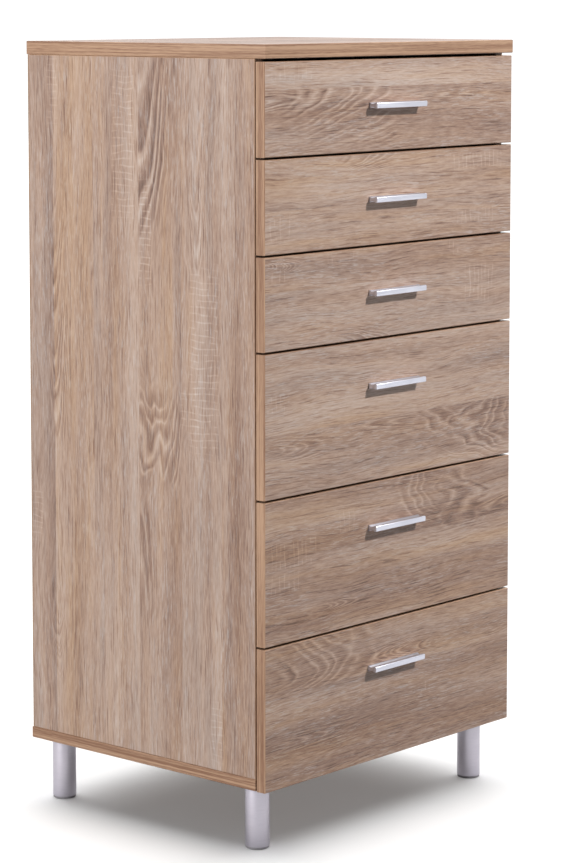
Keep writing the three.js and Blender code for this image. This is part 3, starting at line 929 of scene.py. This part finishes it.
# %% A tool that cuts a driver's cross
def cut_cross(piece, centre, through, span, width, depth):
    """Cuts a cross of two slots into the face at centre; through is the axis that the slots go in along."""
    sides = [axis for axis in range(3) if axis != through]
    for long_axis, short_axis in (sides, sides[::-1]):
        half = Vector((0, 0, 0))
        half[long_axis], half[short_axis], half[through] = span / 2, width / 2, depth
        cutter = add_block("cutter", centre - half, centre + half)
        select_only(piece)
        slot = piece.modifiers.new("cross", "BOOLEAN")
        slot.operation, slot.solver, slot.object = "DIFFERENCE", "EXACT", cutter
        bpy.ops.object.modifier_apply(modifier=slot.name)
        bpy.data.objects.remove(cutter)


print("a cross takes two cuts")

# %% [markdown]
# Two pan-head screws hold each handle from inside the drawer. A pan head is a short disc whose outer
# edge is rounded, so a bevel on a low cylinder is all that it takes.

# %% Handle screws
PAN_RADIUS, PAN_HEIGHT = 4.2 * MM, 2.3 * MM
SCREW_SPREAD = 48 * MM


def handle_screw_place(drawer, side):
    low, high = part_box(f"{drawer}_handle")
    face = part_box(f"{drawer}_front")[1].y
    return Vector(((low.x + high.x) / 2 + side * SCREW_SPREAD, face + PAN_HEIGHT / 2, (low.z + high.z) / 2))


def model_pan_screw(place):
    screw = add_round("handle_screw_1", place, PAN_RADIUS, PAN_HEIGHT, 32, (math.pi / 2, 0, 0))
    face = place.y + PAN_HEIGHT / 2
    bevel_edges(screw, lambda edge: middle(edge).y > face - 1e-5, 1.5 * MM, 5)
    cut_cross(screw, Vector((place.x, face, place.z)), 1, 4.4 * MM, 1.0 * MM, 1.3 * MM)
    return screw


homes = [(handle_screw_place(drawer, side), drawer, False) for drawer in DRAWERS for side in (-1, 1)]
handle_screw = complete(model_pan_screw(homes[0][0]), zinc, "drawer_1")
repeat_piece(handle_screw, "handle_screw", homes)

# %% [markdown]
# Three countersunk screws hold each runner strip. Their heads lie just under its face, so only the flat
# top and its cross are seen. The cone below is the same cylinder with its inner end squeezed. The
# screws on the right are turned half round, to look inwards as well.

# %% Runner screws
RUNNER_SHARES = (0.08, 0.5, 0.92)
COUNTERSUNK_RADIUS, COUNTERSUNK_HEIGHT = 3.7 * MM, 2.0 * MM


def side_name(side):
    return "left" if side < 0 else "right"


def runner_screw_place(row, side, share):
    low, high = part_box(f"runner_{row}_{side_name(side)}")
    face = high.x if side < 0 else low.x
    return Vector((face + side * (COUNTERSUNK_HEIGHT / 2 + 0.25 * MM), low.y + share * (high.y - low.y),
                   (low.z + high.z) / 2))


def model_countersunk_screw(place):
    screw = add_round(
        "runner_screw_1", place, COUNTERSUNK_RADIUS, COUNTERSUNK_HEIGHT, 32, (0, math.pi / 2, 0))
    pick(screw, lambda point: point.co.x < place.x, "VERT")
    bpy.ops.transform.resize(value=(1, 0.5, 0.5), center_override=place)
    bevel_edges(screw, lambda edge: middle(edge).x > place.x + COUNTERSUNK_HEIGHT / 2 - 1e-5, 0.2 * MM, 2)
    cut_cross(screw, place + Vector((COUNTERSUNK_HEIGHT / 2, 0, 0)), 0, 4.2 * MM, 0.9 * MM, 1.2 * MM)
    return screw


homes = [(runner_screw_place(row, side, share), "carcase", side > 0)
         for row in range(1, 7) for side in (-1, 1) for share in RUNNER_SHARES]
runner_screw = complete(model_countersunk_screw(homes[0][0]), zinc, "carcase")
repeat_piece(runner_screw, "runner_screw", homes)

# %% [markdown]
# A cam in each drawer side grips a pin in the front and draws the two together. Seen from inside it is
# a round zinc face in a shallow dish, with a rim. The rim is an inset that is pushed in, and the slot
# is cut across it.

# %% Cams in the drawer sides
CAM_RADIUS, CAM_PROUD, CAM_INSET = 7.5 * MM, 0.6 * MM, 24 * MM
CAM_SHARES = (0.28, 0.72)


def cam_place(drawer, side, share):
    low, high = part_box(f"{drawer}_{side_name(side)}_side")
    face = high.x if side < 0 else low.x
    return Vector((face - side * CAM_PROUD / 2, low.y + CAM_INSET, low.z + share * (high.z - low.z)))


def model_cam(place):
    cam = add_round("cam_1", place, CAM_RADIUS, CAM_PROUD, 40, (0, math.pi / 2, 0))
    face = place.x + CAM_PROUD / 2
    pick(cam, lambda polygon: polygon.normal.x > 0.9)
    bpy.ops.mesh.inset(thickness=1.1 * MM)
    push_faces((-0.2 * MM, 0, 0))
    bevel_edges(cam, lambda edge: middle(edge).x > face - 1e-5
                and (middle(edge) - place).yz.length > CAM_RADIUS - 1e-4, 0.25 * MM, 2)
    cut_cross(cam, Vector((face, place.y, place.z)), 0, 7 * MM, 1.6 * MM, 0.45 * MM)
    return cam


homes = [(cam_place(drawer, side, share), drawer, side > 0)
         for drawer in DRAWERS for side in (-1, 1) for share in CAM_SHARES]
cam = complete(model_cam(homes[0][0]), zinc, "drawer_1")
repeat_piece(cam, "cam", homes)

# %% [markdown]
# Clear stick-on bumpers soften the stop of each front against the carcase. They are domed discs, and a
# wide bevel of several steps on a thin cylinder comes so close to a dome that no curve is needed.

# %% Bumpers behind the fronts
BUMPER_RADIUS, BUMPER_HEIGHT, BUMPER_DROP = 4 * MM, 1.2 * MM, 16 * MM


def bumper_place(drawer, side):
    face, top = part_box(f"{drawer}_front")[1].y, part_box(f"{drawer}_front")[1].z
    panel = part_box(f"{side_name(side)}_side_panel")
    return Vector(((panel[0].x + panel[1].x) / 2, face + BUMPER_HEIGHT / 2, top - BUMPER_DROP))


def model_bumper(place):
    bumper = add_round("bumper_1", place, BUMPER_RADIUS, BUMPER_HEIGHT, 32, (math.pi / 2, 0, 0))
    bevel_edges(bumper, lambda edge: middle(edge).y > place.y + BUMPER_HEIGHT / 2 - 1e-5, 0.9 * MM, 5)
    return bumper


homes = [(bumper_place(drawer, side), drawer, False) for drawer in DRAWERS for side in (-1, 1)]
bumper = complete(model_bumper(homes[0][0]), bumper_plastic, "drawer_1")
repeat_piece(bumper, "bumper", homes)

# %% [markdown]
# From below, screws go up through the bottom panel into the side panels. Their flat heads stand a
# little proud, and show only when the chest is laid on its back.

# %% Screws under the bottom panel
BOTTOM_SCREW_RADIUS, BOTTOM_SCREW_PROUD = 3.6 * MM, 0.5 * MM
BOTTOM_SCREW_SHARES = (0.2, 0.5, 0.8)


def bottom_screw_place(side, share):
    low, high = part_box("bottom_panel")
    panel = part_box(f"{side_name(side)}_side_panel")
    height = low.z - BOTTOM_SCREW_PROUD / 2
    return Vector(((panel[0].x + panel[1].x) / 2, low.y + share * (high.y - low.y), height))


def model_bottom_screw(place):
    screw = add_round("bottom_screw_1", place, BOTTOM_SCREW_RADIUS, BOTTOM_SCREW_PROUD, 32)
    bevel_edges(screw, lambda edge: middle(edge).z < place.z - BOTTOM_SCREW_PROUD / 2 + 1e-5, 0.2 * MM, 2)
    cut_cross(screw, place - Vector((0, 0, BOTTOM_SCREW_PROUD / 2)), 2, 4.2 * MM, 1.0 * MM, 0.35 * MM)
    return screw


homes = [(bottom_screw_place(side, share), "carcase", False)
         for side in (-1, 1) for share in BOTTOM_SCREW_SHARES]
bottom_screw = complete(model_bottom_screw(homes[0][0]), zinc, "carcase")
repeat_piece(bottom_screw, "bottom_screw", homes)

# %% [markdown]
# ## The studio
#
# A piece of furniture is shown best in a plain studio. The floor is pale and dull, with the faintest
# clouds, so that nothing on it draws the eye. It throws no coloured light back up at the chest.

# %% Floor
FLOOR_SIZE = 30.0


def add_floor():
    clear_selection()
    bpy.ops.mesh.primitive_plane_add(size=FLOOR_SIZE, location=(0, 0, cad_box[0].z))
    floor = settle("floor")
    w = Wiring("pale floor")
    place, _ = w.object_place()
    clouds = w.noise(place, scale=3.0, detail=2.0)
    colour = w.ramp(clouds, [(0.3, (0.86, 0.86, 0.86)), (0.7, (0.88, 0.88, 0.88))])
    floor.data.materials.append(w.finish(colour, 0.85))
    floor.visible_diffuse = False
    return floor


floor = add_floor()
print("floor at height", round(cad_box[0].z, 4))

# %% [markdown]
# The surround is an even pale light. It is bright where it is seen directly, less bright where metal
# mirrors it, so that the handles keep some contrast, and weak as a light, so that the lamps can shape
# the chest.

# %% Surround
SKY_SEEN, SKY_MIRRORED, SKY_LIGHT = 1.1, 0.78, 0.14


def add_surround():
    world = bpy.data.worlds.new("studio")
    world.use_nodes = True
    tree = world.node_tree
    tree.nodes.clear()
    rays = tree.nodes.new("ShaderNodeLightPath")
    mirrored = tree.nodes.new("ShaderNodeMix")
    seen = tree.nodes.new("ShaderNodeMix")
    background = tree.nodes.new("ShaderNodeBackground")
    output = tree.nodes.new("ShaderNodeOutputWorld")
    mirrored.inputs[2].default_value, mirrored.inputs[3].default_value = SKY_LIGHT, SKY_MIRRORED
    seen.inputs[3].default_value = SKY_SEEN
    tree.links.new(rays.outputs["Is Glossy Ray"], mirrored.inputs[0])
    tree.links.new(rays.outputs["Is Camera Ray"], seen.inputs[0])
    tree.links.new(mirrored.outputs[0], seen.inputs[2])
    tree.links.new(seen.outputs[0], background.inputs["Strength"])
    background.inputs["Color"].default_value = (1, 1, 1, 1)
    tree.links.new(background.outputs[0], output.inputs[0])
    bpy.context.scene.world = world
    bpy.context.scene.view_settings.view_transform = "Standard"


add_surround()
print("surround strengths:", SKY_SEEN, SKY_MIRRORED, SKY_LIGHT)

# %% [markdown]
# Five soft lamps light the chest: one above for the top, one from the front right that throws the short
# shadows under the handles, one at the left that keeps the side panel bright, and two so that the right
# side and the back are seen as well when one walks round. They leave the floor alone. It has a broad
# light of its own, in which the underside of the chest throws a soft shadow, so no long shadows of the
# lamps cross the picture.

# %% Lamps
CHEST_MIDDLE = Vector((0, 0, 0.6))


def link_lamp(name, data, place, target, floor_state):
    """Adds a lamp that looks at target. floor_state is INCLUDE to light the floor alone, or EXCLUDE."""
    lamp = bpy.data.objects.new(name, data)
    lamp.location = place
    lamp.rotation_euler = (Vector(target) - Vector(place)).to_track_quat("-Z", "Y").to_euler()
    bpy.context.scene.collection.objects.link(lamp)
    receivers = bpy.data.collections.new(name + " receivers")
    receivers.objects.link(floor)
    lamp.light_linking.receiver_collection = receivers
    receivers.collection_objects[0].light_linking.link_state = floor_state
    return lamp


def add_area(name, place, size, power, colour=(1, 1, 1)):
    data = bpy.data.lights.new(name, "AREA")
    data.shape, data.size = "SQUARE", size
    data.energy, data.color = power, colour
    return link_lamp(name, data, place, CHEST_MIDDLE, "EXCLUDE")


def add_floor_light(name, strength, softness, place, blockers=()):
    """A broad light for the floor alone. Only the blockers throw a shadow in it."""
    data = bpy.data.lights.new(name, "SUN")
    data.energy, data.angle = strength, math.radians(softness)
    data.use_shadow = bool(blockers)
    lamp = link_lamp(name, data, place, (0, 0, 0), "INCLUDE")
    if blockers:
        casting = bpy.data.collections.new(name + " blockers")
        for blocker in blockers:
            casting.objects.link(blocker)
        lamp.light_linking.blocker_collection = casting
    return lamp


underside = [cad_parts["bottom_panel"], *(bpy.data.objects["tube_of_" + leg] for leg in LEGS)]
add_floor_light("floor light", 3.7, 84, (1.9, 1.5, 5), underside)
add_floor_light("floor fill", 0.5, 5, (0, 0, 5))
add_area("lamp above", (0, 0, 4.2), 4.0, 55)
add_area("lamp at the front", CHEST_MIDDLE + Vector((0.40, -1.0, 0.84)) * 3.4, 0.32, 184, (1, 0.985, 0.97))
add_area("lamp at the left", (-4.2, 0.6, 1.9), 1.8, 160, (1, 0.985, 0.97))
add_area("lamp at the right", (4.2, 0.9, 1.9), 2.2, 95)
add_area("lamp behind", (1.6, 4.4, 2.2), 2.4, 150)

# %% [markdown]
# ## The end
# The looks must not change the size of the chest.
# The looks must not change the size of the chest, so both boxes are written down to be compared.

# %% The end
print("the chest is dressed")
